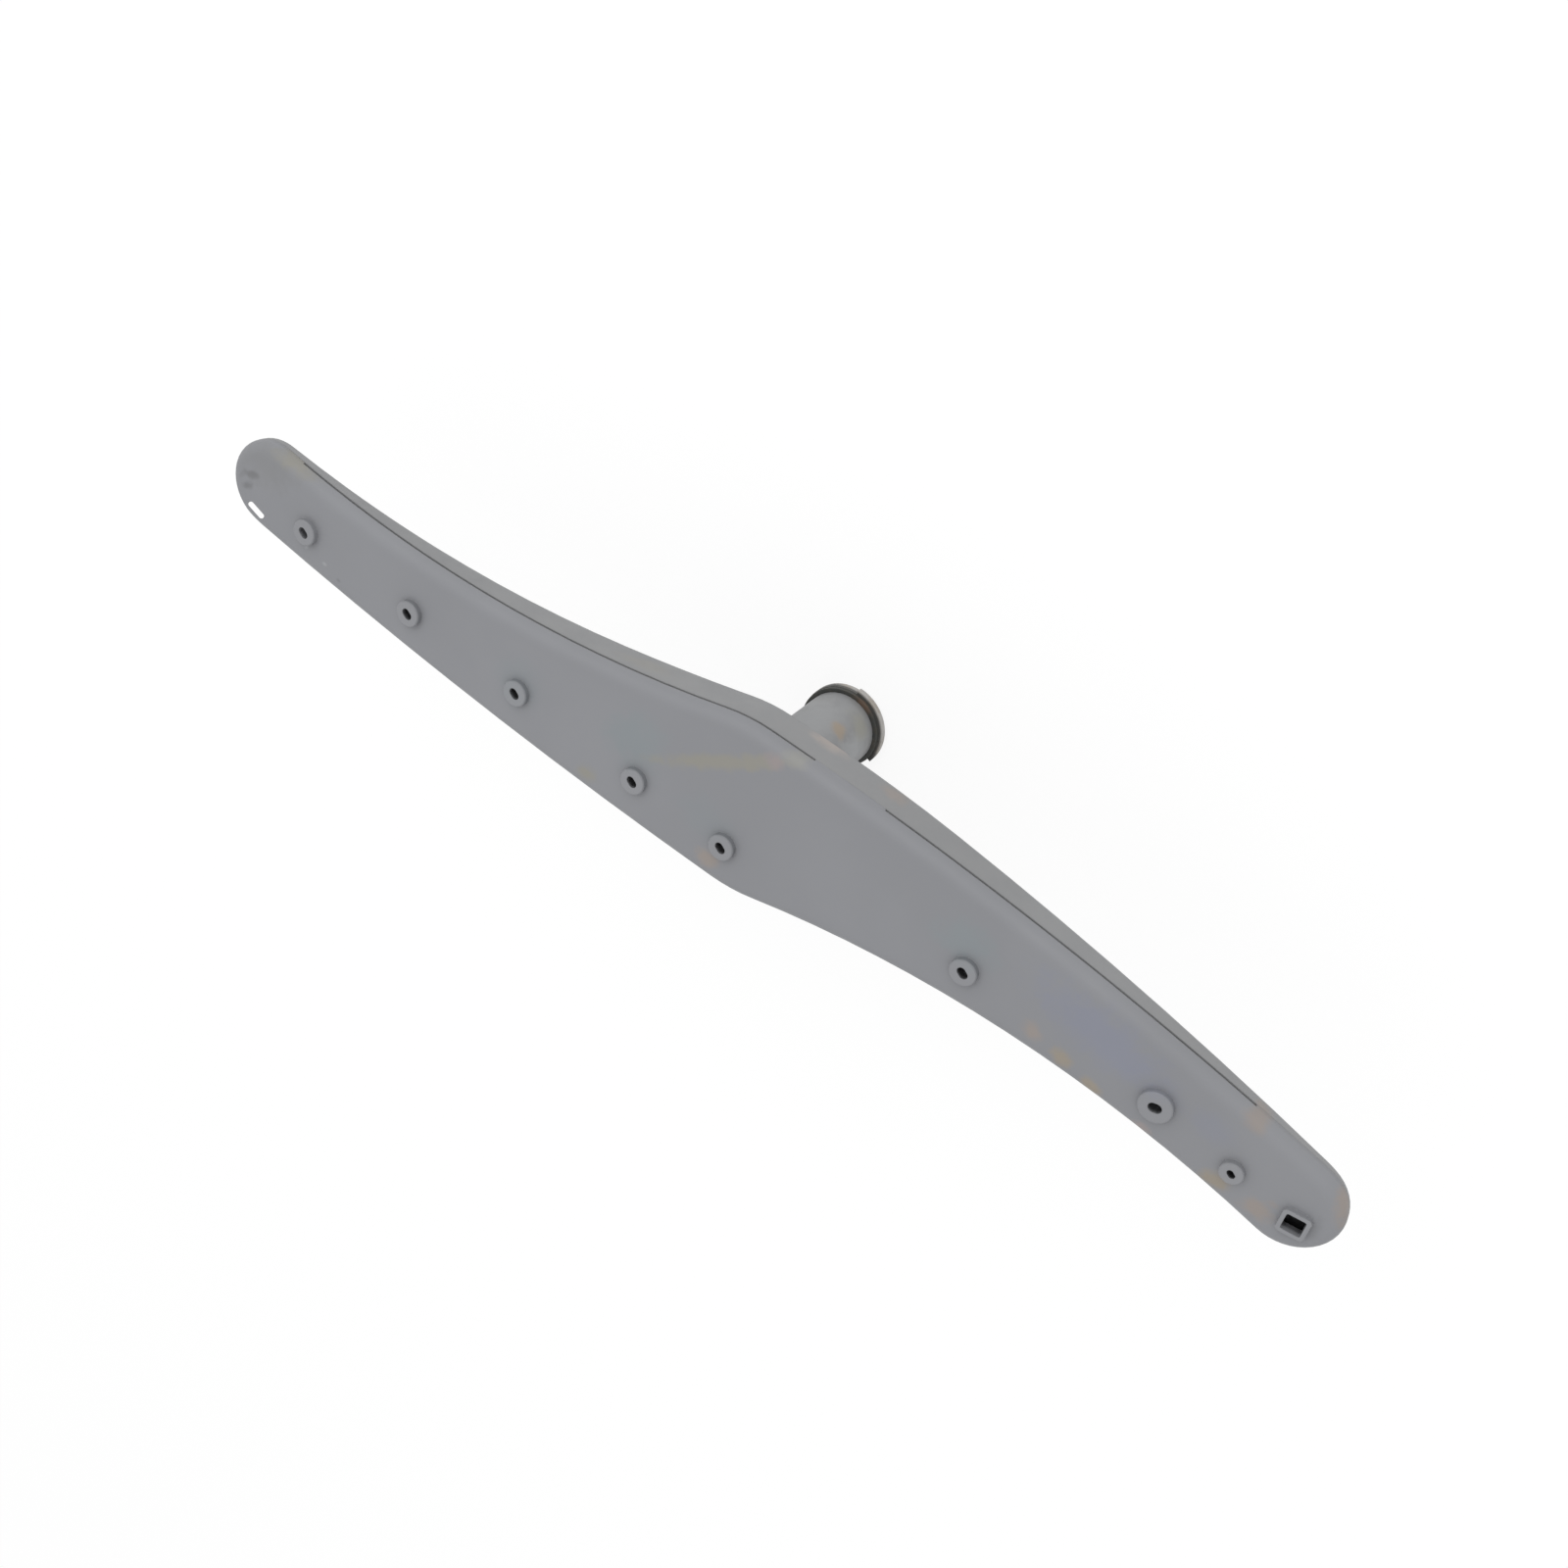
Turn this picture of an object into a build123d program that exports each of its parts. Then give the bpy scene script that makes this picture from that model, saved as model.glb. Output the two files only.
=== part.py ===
import os
from math import radians, sqrt, tan

from build123d import *

# Planform of the arm: two tips, each with one fuller side, two hub crowns, and the arcs between
arm_length = 460.6
tip_radius = 16.6
tip_side_radius = 40.0
tip_side_angle = 75.0
tip_offset = -2.7
hub_width = 63.3
crown_radius = 60.0
crown_shift = -1.4
leading_waist_radius = 473.0
leading_flank_radius = 1246.0
trailing_waist_radius = 410.0
trailing_flank_radius = 1720.0

# Shells
wall = 2.0
parting_height = 76.0
face_height = 6.0
shoulder_radius = 4.6
seam_gap = 1.0
seam_left_reach = 203.0
seam_right_reach = 188.0
tongue_height = 2.0
tongue_clearance = 0.1

# Land on the leading edge beside the hub, where the seam is closed
land_start = 16.0
land_length = 28.0

# Hull of the back shell
hull_depth = 15.3
hull_tip_depth = 1.4
hull_flat_length = 88.0
hull_knee_radius = 600.0
hull_draft = 5.7

# Spray nozzles on the face: distance in from the nearer tip, and side offset
left_nozzles = [(39.4, -7.6), (90.1, -10.6), (140.3, -12.0), (193.4, -13.8), (232.0, -15.0)]
right_nozzle = (137.8, 0.8)
broad_nozzle = (65.9, 0.9)
end_nozzle = (36.2, -3.2)
nozzle_radius = 4.9
broad_nozzle_radius = 5.8
end_nozzle_radius = 4.0
nozzle_height = 2.4
nozzle_edge = 0.4
nozzle_turn = -32.0
broad_nozzle_turn = 17.0
nozzle_opening_length = 4.4
nozzle_opening_width = 3.1
broad_opening_length = 4.6
broad_opening_width = 3.6
end_opening_length = 3.2
end_opening_width = 2.2

# Square jet on the right tip and slanted slot on the left tip
jet_place = (12.7, -6.0)
jet_turn = 10.0
jet_length = 6.4
jet_width = 6.4
jet_rim = 1.4
jet_height = 1.8
slot_place = (15.1, -13.4)
slot_turn = -17.0
slot_heading = 44.0
slot_lean = 49.5
slot_length = 7.4
slot_width = 1.9
slot_reach = 30.0

# Feed tube and its bearing
tube_radius = 14.1
tube_wall = 2.2
tube_root = 2.0
bush_clearance = 0.05
bush_bore_radius = 9.5
bush_length = 16.0
bush_flange_radius = 14.6
bush_flange_thickness = 1.2
bush_floor = 0.6

# Lock collar and wear ring round the tube's end
collar_radius = 15.8
collar_height = 3.2
lug_radius = 17.1
lug_drop = 0.8
wide_lug_turn = 35.0
wide_lug_angle = 110.0
key_lug_turn = 230.0
key_lug_angle = 70.0
running_clearance = 0.08
flange_clearance = 0.2
flange_play = 0.4
ring_radius = 15.6
ring_thickness = 1.8

# Places that follow from the sizes above
half_length = arm_length / 2
tube_end = bush_floor + bush_flange_thickness
face_top = parting_height + face_height
tongue_top = parting_height + tongue_height
keel_height = parting_height - hull_depth


def tangent_centre(first, first_reach, second, second_reach, side):
    # Point at a given reach from each of two centres, on one side of the line between them
    span = second - first
    along = (first_reach**2 - second_reach**2 + span.length**2) / (2 * span.length)
    across = sqrt(first_reach**2 - along**2)
    direction = span.normalized()
    return first + direction * along + Vector(-direction.Y, direction.X) * (side * across)


def arc_about(centre, start, end):
    # Shorter arc from start to end about a centre
    radius = (start - centre).length
    middle = centre + ((start + end) / 2 - centre).normalized() * radius
    return ThreePointArc(start, middle, end)


def long_edge(inset, offset, waist_radius, flank_radius):
    # One long edge: hollow waist from the left tip to the hub crown, full flank to the right tip's side
    left = Vector(tip_radius - half_length, offset)
    right = Vector(half_length - tip_radius, offset)
    turn = Vector(1, 0).rotate(Axis.Z, tip_side_angle)
    side = right - turn * (tip_side_radius - tip_radius)
    crown = Vector(crown_shift, hub_width / 2 - crown_radius)
    waist = tangent_centre(left, waist_radius + tip_radius, crown, waist_radius + crown_radius, 1)
    flank = tangent_centre(crown, flank_radius - crown_radius, side, flank_radius - tip_side_radius, -1)
    start = left + (waist - left).normalized() * (tip_radius - inset)
    rise = crown + (waist - crown).normalized() * (crown_radius - inset)
    fall = crown + (crown - flank).normalized() * (crown_radius - inset)
    ease = side + (side - flank).normalized() * (tip_side_radius - inset)
    end = right + turn * (tip_radius - inset)
    hub = [arc_about(waist, start, rise), arc_about(crown, rise, fall)]
    return hub + [arc_about(flank, fall, ease), arc_about(side, ease, end)]


def outline(inset):
    # S-shaped planform, drawn parallel to the arm's edge and moved inwards by the inset
    leading = long_edge(inset, tip_offset, leading_waist_radius, leading_flank_radius)
    trailing = long_edge(inset, -tip_offset, trailing_waist_radius, trailing_flank_radius)
    trailing = [edge.rotate(Axis.Z, 180) for edge in trailing]
    reach = half_length - inset
    right_tip = ThreePointArc(leading[-1] @ 1, Vector(reach, tip_offset), trailing[0] @ 0)
    left_tip = ThreePointArc(trailing[-1] @ 1, Vector(-reach, tip_offset), leading[0] @ 0)
    return make_face(leading + [right_tip] + trailing + [left_tip])


def slab(inset, bottom, top):
    # Upright slab over the planform between two heights
    return Pos(0, 0, bottom) * extrude(outline(inset), top - bottom)


def upper_rim(solid):
    # Edges round the highest flat face of a solid
    return solid.faces().sort_by(Axis.Z)[-1].edges()


def seam():
    # Open seam under the face's skirt, closed at both tips and along the land
    groove = Pos(-seam_left_reach, 0) * Rectangle(
        seam_left_reach + seam_right_reach, 2 * hub_width, align=(Align.MIN, Align.CENTER)
    )
    land = Pos(land_start, 0) * Rectangle(land_length, hub_width, align=(Align.MIN, Align.MIN))
    groove = Pos(0, 0, parting_height) * extrude(groove - land, seam_gap)
    return groove & slab(0, parting_height, parting_height + seam_gap)


def keel(lift):
    # Block above the keel line: level under the hub, rising to both tips
    floor = keel_height + lift
    tip_floor = parting_height - hull_tip_depth + lift
    flat = hull_flat_length / 2
    side_view = make_face(
        Polyline(
            (-half_length, face_top),
            (-half_length, tip_floor),
            (-flat, floor),
            (flat, floor),
            (half_length, tip_floor),
            (half_length, face_top),
            close=True,
        )
    )
    side_view = fillet(side_view.vertices().group_by(Axis.Y)[0], hull_knee_radius)
    return extrude(Plane.XZ * side_view, hub_width, both=True)


def hull_form(inset, lift):
    # Boat form below the parting plane, with drafted sides
    narrowing = hull_depth * tan(radians(hull_draft))
    rim = Pos(0, 0, parting_height) * outline(inset)
    foot = Pos(0, 0, keel_height) * outline(inset + narrowing)
    return loft([rim, foot], ruled=True) & keel(lift)


def nozzles():
    # Place and boss radius of each nozzle, then length, width and turn of its opening
    plain = (nozzle_radius, nozzle_opening_length, nozzle_opening_width, nozzle_turn)
    broad = (broad_nozzle_radius, broad_opening_length, broad_opening_width, broad_nozzle_turn)
    end = (end_nozzle_radius, end_opening_length, end_opening_width, nozzle_turn)
    rows = [(inward - half_length, side, *plain) for inward, side in left_nozzles]
    rows.append((half_length - right_nozzle[0], right_nozzle[1], *plain))
    rows.append((half_length - broad_nozzle[0], broad_nozzle[1], *broad))
    rows.append((half_length - end_nozzle[0], end_nozzle[1], *end))
    return rows


def nozzle_boss(x, y, radius):
    # Round boss that grows out of the face, with its top edge broken
    boss = Pos(x, y, face_top - wall / 2) * extrude(Circle(radius), nozzle_height + wall / 2)
    return chamfer(upper_rim(boss), nozzle_edge)


def nozzle_opening(x, y, length, width, turn):
    # Oval opening through boss and face
    depth = nozzle_height + 2 * wall
    place = Pos(x, y, face_top + nozzle_height - depth) * Rot(0, 0, turn)
    return place * extrude(SlotOverall(length, width), depth)


def jet_boss():
    # Square chimney on the right tip, and the opening through it
    place = Pos(half_length - jet_place[0], jet_place[1], face_top - wall / 2) * Rot(0, 0, jet_turn)
    rim = Rectangle(jet_length + 2 * jet_rim, jet_width + 2 * jet_rim)
    rim = fillet(rim.vertices(), jet_rim)
    boss = place * extrude(rim, jet_height + wall / 2)
    opening = Rectangle(jet_length, jet_width)
    opening = fillet(opening.vertices(), jet_rim / 2)
    depth = jet_height + 2 * wall
    opening = place * Pos(0, 0, jet_height + wall / 2 - depth) * extrude(opening, depth)
    return boss, opening


def tip_slot():
    # Slanted slot that leads outwards and down through the left tip's edge
    mouth = Vector(slot_place[0] - half_length, slot_place[1], face_top)
    aim = Vector(0, 0, 1).rotate(Axis.Y, slot_lean).rotate(Axis.Z, slot_heading)
    along = Vector(1, 0, 0).rotate(Axis.Z, slot_turn)
    section = Plane(mouth, x_dir=along - aim * along.dot(aim), z_dir=aim)
    return extrude(section * SlotOverall(slot_length, slot_width), slot_reach, both=True)


def face_shell():
    outside = slab(0, parting_height, face_top)
    outside = fillet(upper_rim(outside), shoulder_radius)
    inside = slab(wall, parting_height, face_top - wall)
    inside = chamfer(upper_rim(inside), (shoulder_radius - wall) * (2 - sqrt(2)))
    rebate = slab(wall / 2, parting_height, tongue_top)
    shell = outside - seam() - inside - rebate
    jet, jet_opening = jet_boss()
    for x, y, radius, length, width, turn in nozzles():
        shell += nozzle_boss(x, y, radius)
        shell -= nozzle_opening(x, y, length, width, turn)
    shell += jet
    return shell - jet_opening - tip_slot()


def back_shell():
    hull = hull_form(0, 0)
    tongue = slab(wall / 2 + tongue_clearance, parting_height - wall, tongue_top)
    tongue -= slab(wall, parting_height - wall, tongue_top)
    cavity = hull_form(wall, wall)
    tube = Pos(0, 0, tube_end) * extrude(Circle(tube_radius), keel_height + wall - tube_end)
    feed = Pos(0, 0, tube_end) * extrude(Circle(tube_radius - tube_wall), parting_height - tube_end)
    shell = hull + tube
    closed = shell.edges().filter_by(lambda edge: edge.is_closed)
    root = closed.filter_by_position(Axis.Z, keel_height - wall / 2, keel_height + wall / 2)
    shell = chamfer(root, tube_root)
    return shell - cavity - feed + tongue - tip_slot()


def bearing_bush():
    sleeve_radius = tube_radius - tube_wall - bush_clearance
    flange = Pos(0, 0, bush_floor) * extrude(Circle(bush_flange_radius), bush_flange_thickness)
    sleeve = Pos(0, 0, tube_end) * extrude(Circle(sleeve_radius), bush_length)
    depth = bush_flange_thickness + bush_length
    return flange + sleeve - Pos(0, 0, bush_floor) * extrude(Circle(bush_bore_radius), depth)


def lock_collar():
    # One wide lug and one narrow lug, so that the collar locks one way round
    plate = Circle(collar_radius)
    for turn, angle in [(wide_lug_turn, wide_lug_angle), (key_lug_turn, key_lug_angle)]:
        rim = CenterArc((0, 0), lug_radius, turn - angle / 2, angle)
        plate += make_face([rim, Line(rim @ 1, (0, 0)), Line((0, 0), rim @ 0)])
    lugs = Pos(0, 0, lug_drop) * extrude(plate, collar_height - lug_drop)
    core = extrude(Circle(collar_radius), collar_height)
    bore = extrude(Circle(tube_radius + running_clearance), collar_height)
    seat = extrude(Circle(bush_flange_radius + flange_clearance), tube_end + flange_play)
    return core + lugs - bore - seat


def wear_ring():
    ring = Circle(ring_radius) - Circle(tube_radius + running_clearance)
    return Pos(0, 0, collar_height) * extrude(ring, ring_thickness)


pieces = {
    "face_shell": face_shell(),
    "back_shell": back_shell(),
    "bearing_bush": bearing_bush(),
    "lock_collar": lock_collar(),
    "wear_ring": wear_ring(),
}

os.makedirs("parts", exist_ok=True)
for name, piece in pieces.items():
    export_step(piece, f"parts/{name}.step")
    print(name, round(piece.volume, 1), "mm3")
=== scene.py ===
import math

import bmesh
import bpy
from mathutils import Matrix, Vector


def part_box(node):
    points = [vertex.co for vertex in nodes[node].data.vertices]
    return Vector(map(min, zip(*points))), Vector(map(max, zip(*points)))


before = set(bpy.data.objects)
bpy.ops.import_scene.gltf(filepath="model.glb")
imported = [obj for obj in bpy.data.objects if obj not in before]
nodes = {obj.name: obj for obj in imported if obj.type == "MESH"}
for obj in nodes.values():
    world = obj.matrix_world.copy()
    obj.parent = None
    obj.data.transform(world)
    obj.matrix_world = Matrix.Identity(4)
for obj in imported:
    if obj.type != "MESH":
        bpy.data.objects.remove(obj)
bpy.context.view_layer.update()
mm = 0.001
print("frame loaded:", ", ".join(sorted(nodes)))

samples = {"bevel": 6, "shade": 8}  # rays that the edge and corner nodes send out


# Small helpers for node trees
def newTree(name):
    mat = bpy.data.materials.new(name)
    mat.use_nodes = True
    mat.node_tree.nodes.clear()
    return mat, mat.node_tree


def put(tree, kind, sockets, **options):  # sockets take plain values or other nodes' outputs
    node = tree.nodes.new(kind)
    for name, value in options.items():
        setattr(node, name, value)
    for key, value in sockets.items():
        if isinstance(value, bpy.types.NodeSocket):
            tree.links.new(value, node.inputs[key])
        else:
            node.inputs[key].default_value = value
    return node


def calc(tree, operation, first, second=0.0):
    return put(tree, "ShaderNodeMath", {0: first, 1: second}, operation=operation).outputs[0]


def times(tree, first, second):
    return calc(tree, "MULTIPLY", first, second)


def rest(tree, share):  # what is left of 1
    return calc(tree, "SUBTRACT", 1.0, share)


def apart(tree, value, middle):
    return calc(tree, "ABSOLUTE", calc(tree, "SUBTRACT", value, middle))


def measure(tree, operation, first, second=(0, 0, 0)):  # one number from vectors
    sockets = {0: first, 1: second}
    return put(tree, "ShaderNodeVectorMath", sockets, operation=operation).outputs["Value"]


def split(tree, vector):
    return put(tree, "ShaderNodeSeparateXYZ", {0: vector}).outputs


def fade(tree, value, start, end):  # 0 at start, 1 at end, soft at both
    sockets = {"Value": value, "From Min": start, "From Max": end}
    return put(tree, "ShaderNodeMapRange", sockets, interpolation_type="SMOOTHSTEP").outputs[0]


def cloud(tree, where, size, detail, rough):  # soft noise with patches about size metres across
    sockets = {"Vector": where, "Scale": 1 / size, "Detail": detail, "Roughness": rough}
    return put(tree, "ShaderNodeTexNoise", sockets).outputs[0]


def openness(tree, distance):  # 1 on open surfaces, less in corners and holes
    sockets = {"Distance": distance}
    return put(tree, "ShaderNodeAmbientOcclusion", sockets, samples=samples["shade"]).outputs["AO"]


def rgba(colour):
    return (*colour, 1.0)


def tint(tree, colour, amount, paint):  # paint over a colour where amount is 1
    sockets = {0: amount, 6: colour, 7: rgba(paint)}
    return put(tree, "ShaderNodeMix", sockets, data_type="RGBA").outputs[2]


def edgeFade(tree, look):  # normal rounded over the edges, and a mask that is 1 along them
    sockets = {"Radius": look["edgeRound"]}
    rounded = put(tree, "ShaderNodeBevel", sockets, samples=samples["bevel"]).outputs[0]
    plain = put(tree, "ShaderNodeNewGeometry", {}).outputs["Normal"]
    return rounded, fade(tree, measure(tree, "DOT_PRODUCT", rounded, plain), *look["edgeFade"])


def closeTree(tree, look, colour, worn, relief, rounded):  # bump, roughness, shader and output
    sockets = {"Strength": look["bump"], "Distance": look["bumpDepth"], "Height": relief, "Normal": rounded}
    bump = put(tree, "ShaderNodeBump", sockets).outputs[0]
    low, high = look["roughness"]
    rough = put(tree, "ShaderNodeMapRange", {"Value": worn, "To Min": low, "To Max": high}).outputs[0]
    sockets = {"Base Color": colour, "Roughness": rough, "Specular IOR Level": look["gloss"], "Normal": bump}
    shader = put(tree, "ShaderNodeBsdfPrincipled", sockets).outputs[0]
    put(tree, "ShaderNodeOutputMaterial", {"Surface": shader})


# Stains and marks, with painted shadow and painted light among them, in millimetres from the hub axis and
# the collar's underside
markTints = {
    "beige": (0.272, 0.263, 0.234),
    "ochre": (0.294, 0.260, 0.216),
    "rose": (0.292, 0.259, 0.240),
    "pink": (0.298, 0.265, 0.262),
    "blue": (0.232, 0.243, 0.298),
    "rust": (0.130, 0.085, 0.058),
    "sootAndShadow": (0.10, 0.10, 0.10),
    "black": (0.026, 0.026, 0.025),
    "chalkAndLight": (0.40, 0.41, 0.42),
    "teal": (0.233, 0.257, 0.272),
    "dull": (0.226, 0.229, 0.236),
    "lime": (0.305, 0.300, 0.262),
    "sand": (0.330, 0.278, 0.224),
    "shell": (0.345, 0.312, 0.293),
    "grime": (0.13, 0.115, 0.085),
}
markLook = {
    "deep": 8.0,  # reach along the tube where a mark gives none
    "fade": (1.15, 0.25),  # soft rim, in shares of the reach
    "ragged": (5 * mm, 4.0, 0.6),  # noise that frays the rim: size, detail, roughness
    "raggedMiddle": 0.5,
    "raggedShare": 1.3,
}
faceMarks = [
    # faint zones round some nozzles and on the left tip
    {"at": (-42, 0, 82), "reach": (15, 13), "depth": 0.85, "tint": "teal"},
    {"at": (-91, -8, 82), "reach": (12, 11), "depth": 0.45, "tint": "teal"},
    {"at": (-8, -10, 82), "reach": (14, 9), "depth": 0.4, "tint": "teal"},
    {"at": (88, 10, 82), "reach": (14, 9), "depth": 0.85, "tint": "teal"},
    {"at": (-214, 7, 82), "reach": (17, 11), "turn": 10, "depth": 0.75, "tint": "dull"},
    # streak to the hub
    {"at": (-15, 10.8, 82), "reach": (29, 3.8), "turn": 35, "depth": 0.95, "tint": "beige"},
    {"at": (0, 21.6, 82), "reach": (9, 3.8), "turn": 33, "depth": 0.9, "tint": "beige"},
    {"at": (5.6, 26, 82), "reach": (4.4, 3.4), "depth": 1.0, "tint": "pink"},
    {"at": (11, 30, 79), "reach": (6, 3.4), "turn": 20, "depth": 0.5, "tint": "lime"},
    # along the trailing edge
    {"at": (-55, -24, 81), "reach": (5.4, 4), "turn": 10, "depth": 0.95, "tint": "beige"},
    {"at": (-1.6, -24, 81), "reach": (5.8, 4.8), "depth": 1.0, "tint": "rose"},
    {"at": (120.4, -3.9, 82), "reach": (5, 3.8), "turn": -30, "depth": 0.95, "tint": "rose"},
    {"at": (133, -6, 82), "reach": (5.2, 3.6), "turn": -20, "depth": 1.0, "tint": "ochre"},
    {"at": (145, -8.6, 81.4), "reach": (5.2, 3.2), "turn": -15, "depth": 1.0, "tint": "ochre"},
    {"at": (165.2, -10.8, 81.5), "reach": (4, 2.6), "depth": 1.0, "tint": "pink"},
    {"at": (192, -10.4, 81.5), "reach": (6, 4.6), "turn": 15, "depth": 1.0, "tint": "ochre"},
    {"at": (207, -10.5, 82), "reach": (6.4, 4.4), "depth": 1.0, "tint": "rose"},
    {"at": (209.8, -5.1, 82), "reach": (2.4, 1.6), "depth": 0.5, "tint": "rose"},
    # painted shadow beside the jet, and stains on the leading edge and round the end of the right tip
    # painted shadow of the jet on its far side
    {"at": (223, -4, 82), "reach": (2.2, 5.6), "turn": 10, "depth": 0.16, "tint": "sootAndShadow"},
    {"at": (190.3, 16.6, 80), "reach": (5, 5), "depth": 0.9, "tint": "rose"},
    {"at": (225.5, 8, 79.5), "reach": (3.6, 9), "turn": 30, "depth": 1.0, "tint": "rose"},
    # edge, smudges and lime specks of the left tip
    {"at": (-204, 13.2, 79), "reach": (12, 4.6), "turn": 2, "depth": 0.85, "tint": "beige"},
    {"at": (-219.6, -0.6, 82), "reach": (4, 2), "turn": 20, "depth": 0.42, "tint": "sootAndShadow"},
    {"at": (-221.2, -6.4, 82), "reach": (3.2, 2), "turn": 30, "depth": 0.42, "tint": "sootAndShadow"},
    {"at": (-224, -2.6, 82), "reach": (3.4, 1.2), "turn": 60, "depth": 0.16, "tint": "sootAndShadow"},
    {"at": (-190, -13.8, 82), "reach": (1.6, 1), "turn": 60, "depth": 0.4, "tint": "chalkAndLight"},
    {"at": (-180.8, -15.5, 82), "reach": (1.2, 0.8), "depth": 0.45, "tint": "chalkAndLight"},
    {"at": (-173.2, -18, 82), "reach": (1.2, 0.8), "depth": 0.3, "tint": "sootAndShadow"},
    # bluish bloom
    {"at": (139, 10.4, 82), "reach": (31, 11), "turn": -8, "depth": 0.8, "tint": "blue"},
    {"at": (182, 6, 82), "reach": (9, 6), "depth": 0.4, "tint": "blue"},
]
backMarks = [
    # painted light on the tube, and spots
    {"at": (-2, 12, 34), "reach": (13, 11), "deep": 34, "depth": 0.3, "tint": "chalkAndLight"},
    {"at": (13, 5, 22), "reach": (8, 8), "deep": 15, "depth": 0.6, "tint": "chalkAndLight"},
    {"at": (6, 12.8, 25.4), "reach": (4.4, 4), "deep": 5, "depth": 1.0, "tint": "sand"},
    {"at": (9, 11, 13), "reach": (7, 6), "deep": 6, "depth": 0.75, "tint": "lime"},
    {"at": (4, 13.4, 6), "reach": (9, 4), "deep": 2.4, "depth": 0.2, "tint": "grime"},
    # along the hull's leading side
    {"at": (14.4, 30, 61.4), "reach": (9, 6), "deep": 6, "depth": 0.95, "tint": "shell"},
    {"at": (42, 30, 65), "reach": (6, 5), "deep": 5, "depth": 0.8, "tint": "rose"},
    {"at": (190, 17, 75), "reach": (4, 4), "deep": 4, "depth": 0.8, "tint": "rose"},
    {"at": (-54, 19.5, 68.7), "reach": (14, 5), "deep": 5, "depth": 0.4, "tint": "beige"},
    {"at": (-152, 10, 73), "reach": (44, 6), "deep": 6, "depth": 0.5, "tint": "dull"},
]
collarMarks = [  # black rubbed off the ring
    {"at": (16, -6, 3.4), "reach": (7, 8), "deep": 3, "depth": 1.0, "tint": "black"},
    {"at": (-11, 11, 3), "reach": (10, 8), "deep": 4, "depth": 1.0, "tint": "black"},
]
ringMarks = [
    {"at": (4.6, 14.6, 4.8), "reach": (5, 3), "deep": 1.6, "turn": -20, "depth": 0.9, "tint": "rust"},
]


def blot(tree, where, ragged, mark):  # one soft-edged oval mark on the surface
    sockets = {
        "Vector": where,
        "Location": [c * mm for c in mark["at"]],
        "Rotation": (0, 0, math.radians(mark.get("turn", 0.0))),
        "Scale": [side * mm for side in (*mark["reach"], mark.get("deep", markLook["deep"]))],
    }
    local = put(tree, "ShaderNodeMapping", sockets, vector_type="TEXTURE").outputs[0]
    gap = calc(tree, "ADD", measure(tree, "LENGTH", local), ragged)
    return times(tree, fade(tree, gap, *markLook["fade"]), mark["depth"])


def addMarks(tree, where, colour, marks):
    ragged = calc(tree, "SUBTRACT", cloud(tree, where, *markLook["ragged"]), markLook["raggedMiddle"])
    ragged = times(tree, ragged, markLook["raggedShare"])
    for mark in marks:
        colour = tint(tree, colour, blot(tree, where, ragged, mark), markTints[mark["tint"]])
    return colour


def lessen(tree, where, amount, spots):  # less of a mask near some spots
    for spot in spots:
        amount = times(tree, amount, rest(tree, blot(tree, where, 0.0, spot)))
    return amount


# Grey moulded plastic of the two shells
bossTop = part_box("face_shell")[1].z
shellLook = {
    "tones": (0.97, 1.02),  # broad tone runs between these shares of the base colour
    "broad": (60 * mm, 3.0, 0.5),  # noises: size, detail, roughness
    "broadFade": (0.35, 0.65),
    "patch": (14 * mm, 4.0, 0.6),
    "patchFade": (0.3, 0.7),
    "bloomTint": (0.27, 0.28, 0.30),
    "bloomShare": 0.12,
    "edgeRound": 0.5 * mm,
    "edgeFade": (0.995, 0.93),
    "wornTint": (0.34, 0.345, 0.355),  # edges rubbed pale
    "wornShare": 0.2,
    "creaseShade": 1.5 * mm,  # painted shade in the corners
    "creaseShadeFade": (0.8, 0.35),
    "shadeTint": (0.09, 0.088, 0.084),
    "creaseShadeShare": 0.06,
    "seamLevel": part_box("face_shell")[0].z + 0.5 * mm,
    "seamShade": (1.3 * mm, 0.6 * mm),  # painted shade along both lips of the seam, except on the closed land
    "seamShadeShare": 0.12,
    "landMiddle": 30 * mm,
    "landHalf": (12 * mm, 16 * mm),
    "hollow": 10 * mm,  # painted shade inside the openings, but not in the seam
    "hollowFade": (0.52, 0.34),
    "hollowTint": (0.026, 0.026, 0.027),
    "seamClear": (1.0 * mm, 1.6 * mm),
    "tips": (206 * mm, 209 * mm),  # past the seam's ends
    "jetLip": (81.4 * mm, 82.8 * mm),  # painted shade is left off the square jet's mouth down to here
    "grain": (0.45 * mm, 2.0, 0.6),
    "grainShare": 0.35,
    "pit": (1.6 * mm, 3.0, 0.55),
    "pitFade": (0.28, 0.4),
    "bump": 0.12,
    "bumpDepth": 0.05 * mm,
    "roughness": (0.48, 0.62),
    "gloss": 0.4,
}
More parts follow.
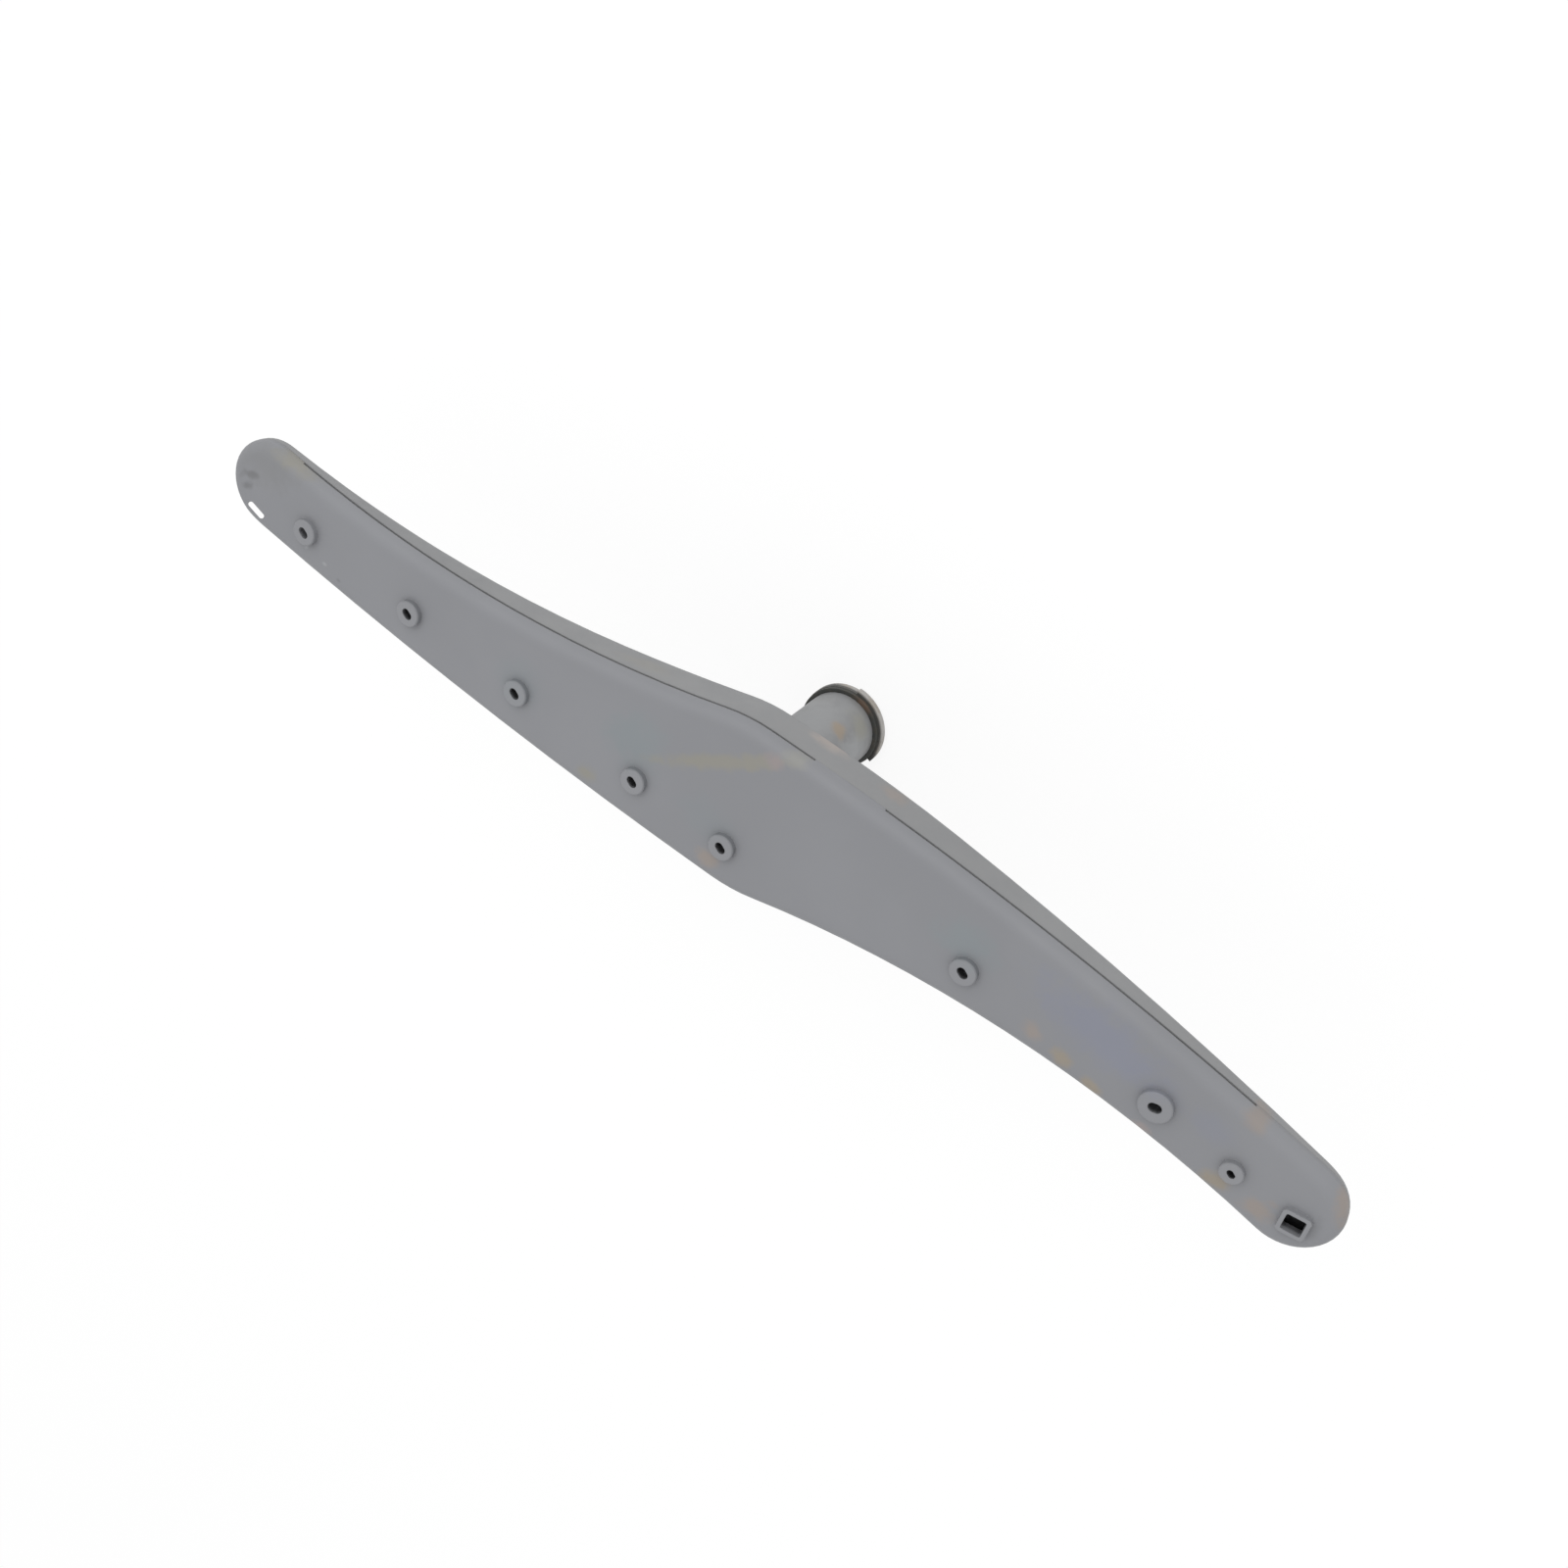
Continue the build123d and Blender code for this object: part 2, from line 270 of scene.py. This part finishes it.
faceLook = dict(
    shellLook,
    base=(0.250, 0.254, 0.270),
    marks=faceMarks,
    bossFoot=(bossTop - 2.3 * mm, bossTop - 2.1 * mm),  # walls from here up get painted shade on one side
    wallSlope=(0.85, 0.6),
    shadedSide=(0.5, 0.85, 0.0),
    shadedTurn=(0.0, 0.3),
    wallShadeTint=(0.10, 0.105, 0.115),
    wallShadeShare=0.32,
    bossRim=(bossTop - 1.0 * mm, bossTop - 0.8 * mm),  # and flat rims from here up get a painted highlight
    rimSlope=(0.6, 0.9),
    rimHighlightTint=(0.30, 0.305, 0.32),
    rimHighlightShare=0.2,
    lessWallShade=[  # bosses and jet with little painted shade on their walls
        {"at": (-190.9, -7.6, 83), "reach": (12, 12), "depth": 0.9},
        {"at": (164.4, 0.9, 83), "reach": (14, 14), "depth": 0.9},
        {"at": (194.1, -3.2, 83), "reach": (10, 10), "depth": 0.5},
        {"at": (217.6, -6, 83), "reach": (14, 14), "depth": 0.8},
    ],
    shadeLessened=[{"at": (-190.9, -7.6, 83), "reach": (12, 12), "depth": 0.45}],  # less painted shade inside this nozzle
)
backLook = dict(shellLook, base=(0.260, 0.262, 0.266), marks=backMarks, shadeLessened=[])


def addBossShadeAndHighlight(tree, where, colour, look):  # painted shade on one side of the bosses and jet, painted highlight on their tops
    height = split(tree, where)["Z"]
    facing = put(tree, "ShaderNodeTexCoord", {}).outputs["Normal"]
    upright = split(tree, facing)["Z"]
    # painted highlight on the flat tops
    rimHighlight = times(tree, fade(tree, upright, *look["rimSlope"]), fade(tree, height, *look["bossRim"]))
    colour = tint(tree, colour, times(tree, rimHighlight, look["rimHighlightShare"]), look["rimHighlightTint"])
    # painted shade on one side of the walls
    shadedFacing = measure(tree, "DOT_PRODUCT", facing, look["shadedSide"])
    wallShade = times(tree, fade(tree, upright, *look["wallSlope"]), fade(tree, height, *look["bossFoot"]))
    wallShade = times(tree, wallShade, fade(tree, shadedFacing, *look["shadedTurn"]))
    wallShade = lessen(tree, where, wallShade, look["lessWallShade"])
    return tint(tree, colour, times(tree, wallShade, look["wallShadeShare"]), look["wallShadeTint"])


def addPaintedShade(tree, where, colour, look):  # painted shade in corners, along the seam and inside the openings
    # painted shade where corners close in
    creaseShade = fade(tree, openness(tree, look["creaseShade"]), *look["creaseShadeFade"])
    colour = tint(tree, colour, times(tree, creaseShade, look["creaseShadeShare"]), look["shadeTint"])
    axes = split(tree, where)
    # painted shade along both lips of the seam
    aside = apart(tree, axes["Z"], look["seamLevel"])
    across = apart(tree, axes["X"], look["landMiddle"])
    seamShaded = times(tree, fade(tree, aside, *look["seamShade"]), fade(tree, across, *look["landHalf"]))
    colour = tint(tree, colour, times(tree, seamShaded, look["seamShadeShare"]), look["shadeTint"])
    far = fade(tree, calc(tree, "ABSOLUTE", axes["X"]), *look["tips"])
    deep = calc(tree, "MAXIMUM", fade(tree, aside, *look["seamClear"]), far)
    lip = times(tree, fade(tree, axes["X"], *look["tips"]), fade(tree, axes["Z"], *look["jetLip"]))
    deep = times(tree, deep, rest(tree, lip))
    # painted shade, near black, deep in the openings
    hollow = times(tree, fade(tree, openness(tree, look["hollow"]), *look["hollowFade"]), deep)
    return tint(tree, colour, lessen(tree, where, hollow, look["shadeLessened"]), look["hollowTint"])


def shellPlastic(name, look):
    mat, tree = newTree(name)
    where = put(tree, "ShaderNodeTexCoord", {}).outputs["Object"]
    dark, pale = [[c * share for c in look["base"]] for share in look["tones"]]
    broad = fade(tree, cloud(tree, where, *look["broad"]), *look["broadFade"])
    colour = tint(tree, rgba(dark), broad, pale)
    patch = fade(tree, cloud(tree, where, *look["patch"]), *look["patchFade"])
    colour = tint(tree, colour, times(tree, patch, look["bloomShare"]), look["bloomTint"])
    colour = addMarks(tree, where, colour, look["marks"])
    if "bossFoot" in look:
        colour = addBossShadeAndHighlight(tree, where, colour, look)
    rounded, edges = edgeFade(tree, look)
    colour = tint(tree, colour, times(tree, edges, look["wornShare"]), look["wornTint"])
    colour = addPaintedShade(tree, where, colour, look)
    # moulded grain and tiny pits
    grain = times(tree, cloud(tree, where, *look["grain"]), look["grainShare"])
    pits = fade(tree, cloud(tree, where, *look["pit"]), *look["pitFade"])
    closeTree(tree, look, colour, patch, calc(tree, "ADD", grain, pits), rounded)
    return mat


# Plain turned and pressed pieces at the tube's end
smallLook = {
    "wearFade": (0.45, 0.75),
    "edgeRound": 0.3 * mm,
    "edgeFade": (0.995, 0.93),
    "grain": (0.5 * mm, 2.0, 0.6),
    "bump": 0.15,
    "bumpDepth": 0.05 * mm,
    "gloss": 0.4,
}
bushLook = dict(
    smallLook,
    base=(0.60, 0.59, 0.55),
    worn=(0.46, 0.44, 0.40),
    wear=(6 * mm, 5.0, 0.6),
    edge=(0.66, 0.65, 0.62),
    edgeShare=0.4,
    roughness=(0.34, 0.48),
    marks=[],
)
collarLook = dict(
    smallLook,
    base=(0.44, 0.425, 0.405),
    worn=(0.35, 0.31, 0.26),
    wear=(5 * mm, 5.0, 0.6),
    edge=(0.52, 0.505, 0.48),
    edgeShare=0.4,
    roughness=(0.46, 0.60),
    marks=collarMarks,
    rubbed=(17.0 * mm, 16.1 * mm),  # black from the ring close round the tube
    rubbedShare=0.85,
    clean=(1.4 * mm, 2.6 * mm),  # and none of it underneath
)
ringLook = dict(
    smallLook,
    base=(0.048, 0.050, 0.047),
    worn=(0.072, 0.066, 0.052),
    wear=(4 * mm, 5.0, 0.6),
    edge=(0.11, 0.105, 0.095),
    edgeShare=0.5,
    roughness=(0.56, 0.72),
    marks=ringMarks,
)


def addRub(tree, where, colour, look):  # black from the ring on the collar's upper side
    axes = split(tree, where)
    level = put(tree, "ShaderNodeCombineXYZ", {"X": axes["X"], "Y": axes["Y"]}).outputs[0]
    out = measure(tree, "LENGTH", level)
    rubbed = times(tree, fade(tree, out, *look["rubbed"]), fade(tree, axes["Z"], *look["clean"]))
    return tint(tree, colour, times(tree, rubbed, look["rubbedShare"]), markTints["black"])


def smallPlastic(name, look):
    mat, tree = newTree(name)
    where = put(tree, "ShaderNodeTexCoord", {}).outputs["Object"]
    wear = fade(tree, cloud(tree, where, *look["wear"]), *look["wearFade"])
    colour = tint(tree, rgba(look["base"]), wear, look["worn"])
    colour = addMarks(tree, where, colour, look["marks"])
    if "rubbed" in look:
        colour = addRub(tree, where, colour, look)
    rounded, edges = edgeFade(tree, look)
    colour = tint(tree, colour, times(tree, edges, look["edgeShare"]), look["edge"])
    closeTree(tree, look, colour, wear, cloud(tree, where, *look["grain"]), rounded)
    return mat


finishes = {
    "face_shell": shellPlastic("faceGrey", faceLook),
    "back_shell": shellPlastic("backGrey", backLook),
    "bearing_bush": smallPlastic("bushNatural", bushLook),
    "lock_collar": smallPlastic("collarPale", collarLook),
    "wear_ring": smallPlastic("ringBlack", ringLook),
}
for name, mat in finishes.items():
    piece = nodes[name].data
    piece.materials.clear()
    piece.materials.append(mat)
print("finishes:", len(finishes))


# Floor, world and lamp
stage = {
    "floorHalf": 3.0,
    "floorDrop": 0.1 * mm,  # clear of the collar's underside
    "floorColour": (0.86, 0.86, 0.86),
    "floorGlow": 0.85,  # white of the floor that shows without light, so the shadow stays faint
    "floorMatte": (0.165, 0.165, 0.165),
    "white": (1.0, 1.0, 1.0),
    "backdrop": 1.0,
    "sky": 0.835,
    "keySpot": (-0.25, 0.95, 0.90),
    "keySize": 1.1,
    "keyWatts": 4.5,
}


def seenRays(tree):  # rays that look at the background: from the camera, in gloss and through glass
    rays = put(tree, "ShaderNodeLightPath", {})
    seen = calc(tree, "MAXIMUM", rays.outputs["Is Camera Ray"], rays.outputs["Is Glossy Ray"])
    return calc(tree, "MAXIMUM", seen, rays.outputs["Is Transmission Ray"])


def paintFloor():
    mat, tree = newTree("floorWhite")
    matte = put(tree, "ShaderNodeBsdfDiffuse", {"Color": rgba(stage["floorColour"])}).outputs[0]
    shadowed = put(tree, "ShaderNodeBsdfDiffuse", {"Color": rgba(stage["floorMatte"])}).outputs[0]
    sockets = {"Color": rgba(stage["white"]), "Strength": stage["floorGlow"]}
    glow = put(tree, "ShaderNodeEmission", sockets).outputs[0]
    shown = put(tree, "ShaderNodeAddShader", {0: shadowed, 1: glow}).outputs[0]
    shader = put(tree, "ShaderNodeMixShader", {0: seenRays(tree), 1: matte, 2: shown}).outputs[0]
    put(tree, "ShaderNodeOutputMaterial", {"Surface": shader})
    return mat


def makeFloor():
    bm = bmesh.new()
    bmesh.ops.create_grid(bm, x_segments=1, y_segments=1, size=stage["floorHalf"])
    bmesh.ops.translate(bm, verts=bm.verts, vec=(0, 0, -stage["floorDrop"]))
    mesh = bpy.data.meshes.new("floor")
    bm.to_mesh(mesh)
    bm.free()
    mesh.materials.append(paintFloor())
    floor = bpy.data.objects.new("floor", mesh)
    bpy.context.scene.collection.objects.link(floor)


def makeSky():
    world = bpy.data.worlds.new("studio")
    bpy.context.scene.world = world
    world.use_nodes = True
    tree = world.node_tree
    tree.nodes.clear()
    white = rgba(stage["white"])
    light = put(tree, "ShaderNodeBackground", {"Color": white, "Strength": stage["sky"]}).outputs[0]
    shown = put(tree, "ShaderNodeBackground", {"Color": white, "Strength": stage["backdrop"]}).outputs[0]
    shader = put(tree, "ShaderNodeMixShader", {0: seenRays(tree), 1: light, 2: shown}).outputs[0]
    put(tree, "ShaderNodeOutputWorld", {"Surface": shader})


def makeLamp(name, spot, size, watts):
    data = bpy.data.lights.new(name, "AREA")
    data.size = size
    data.energy = watts
    lamp = bpy.data.objects.new(name, data)
    lamp.location = spot
    lamp.rotation_euler = (-Vector(spot)).to_track_quat("-Z", "Y").to_euler()
    bpy.context.scene.collection.objects.link(lamp)


makeFloor()
makeSky()
makeLamp("key", stage["keySpot"], stage["keySize"], stage["keyWatts"])
print("stage set")

# Camera at the photograph's place
shot = {
    "spot": (121.03, 313.56, 483.05),
    "turn": (-26.099, 28.580, 23.819),
    "lens": 36.0,
    "sensor": 36.0,
    "near": 0.01,
}
camera = bpy.data.cameras.new("shot")
camera.lens = shot["lens"]
camera.sensor_width = shot["sensor"]
camera.clip_start = shot["near"]
eye = bpy.data.objects.new("shot", camera)
eye.location = [c * mm for c in shot["spot"]]
eye.rotation_euler = [math.radians(c) for c in shot["turn"]]
bpy.context.scene.collection.objects.link(eye)
bpy.context.scene.camera = eye
bpy.context.scene.view_settings.view_transform = "Standard"
print("camera set")
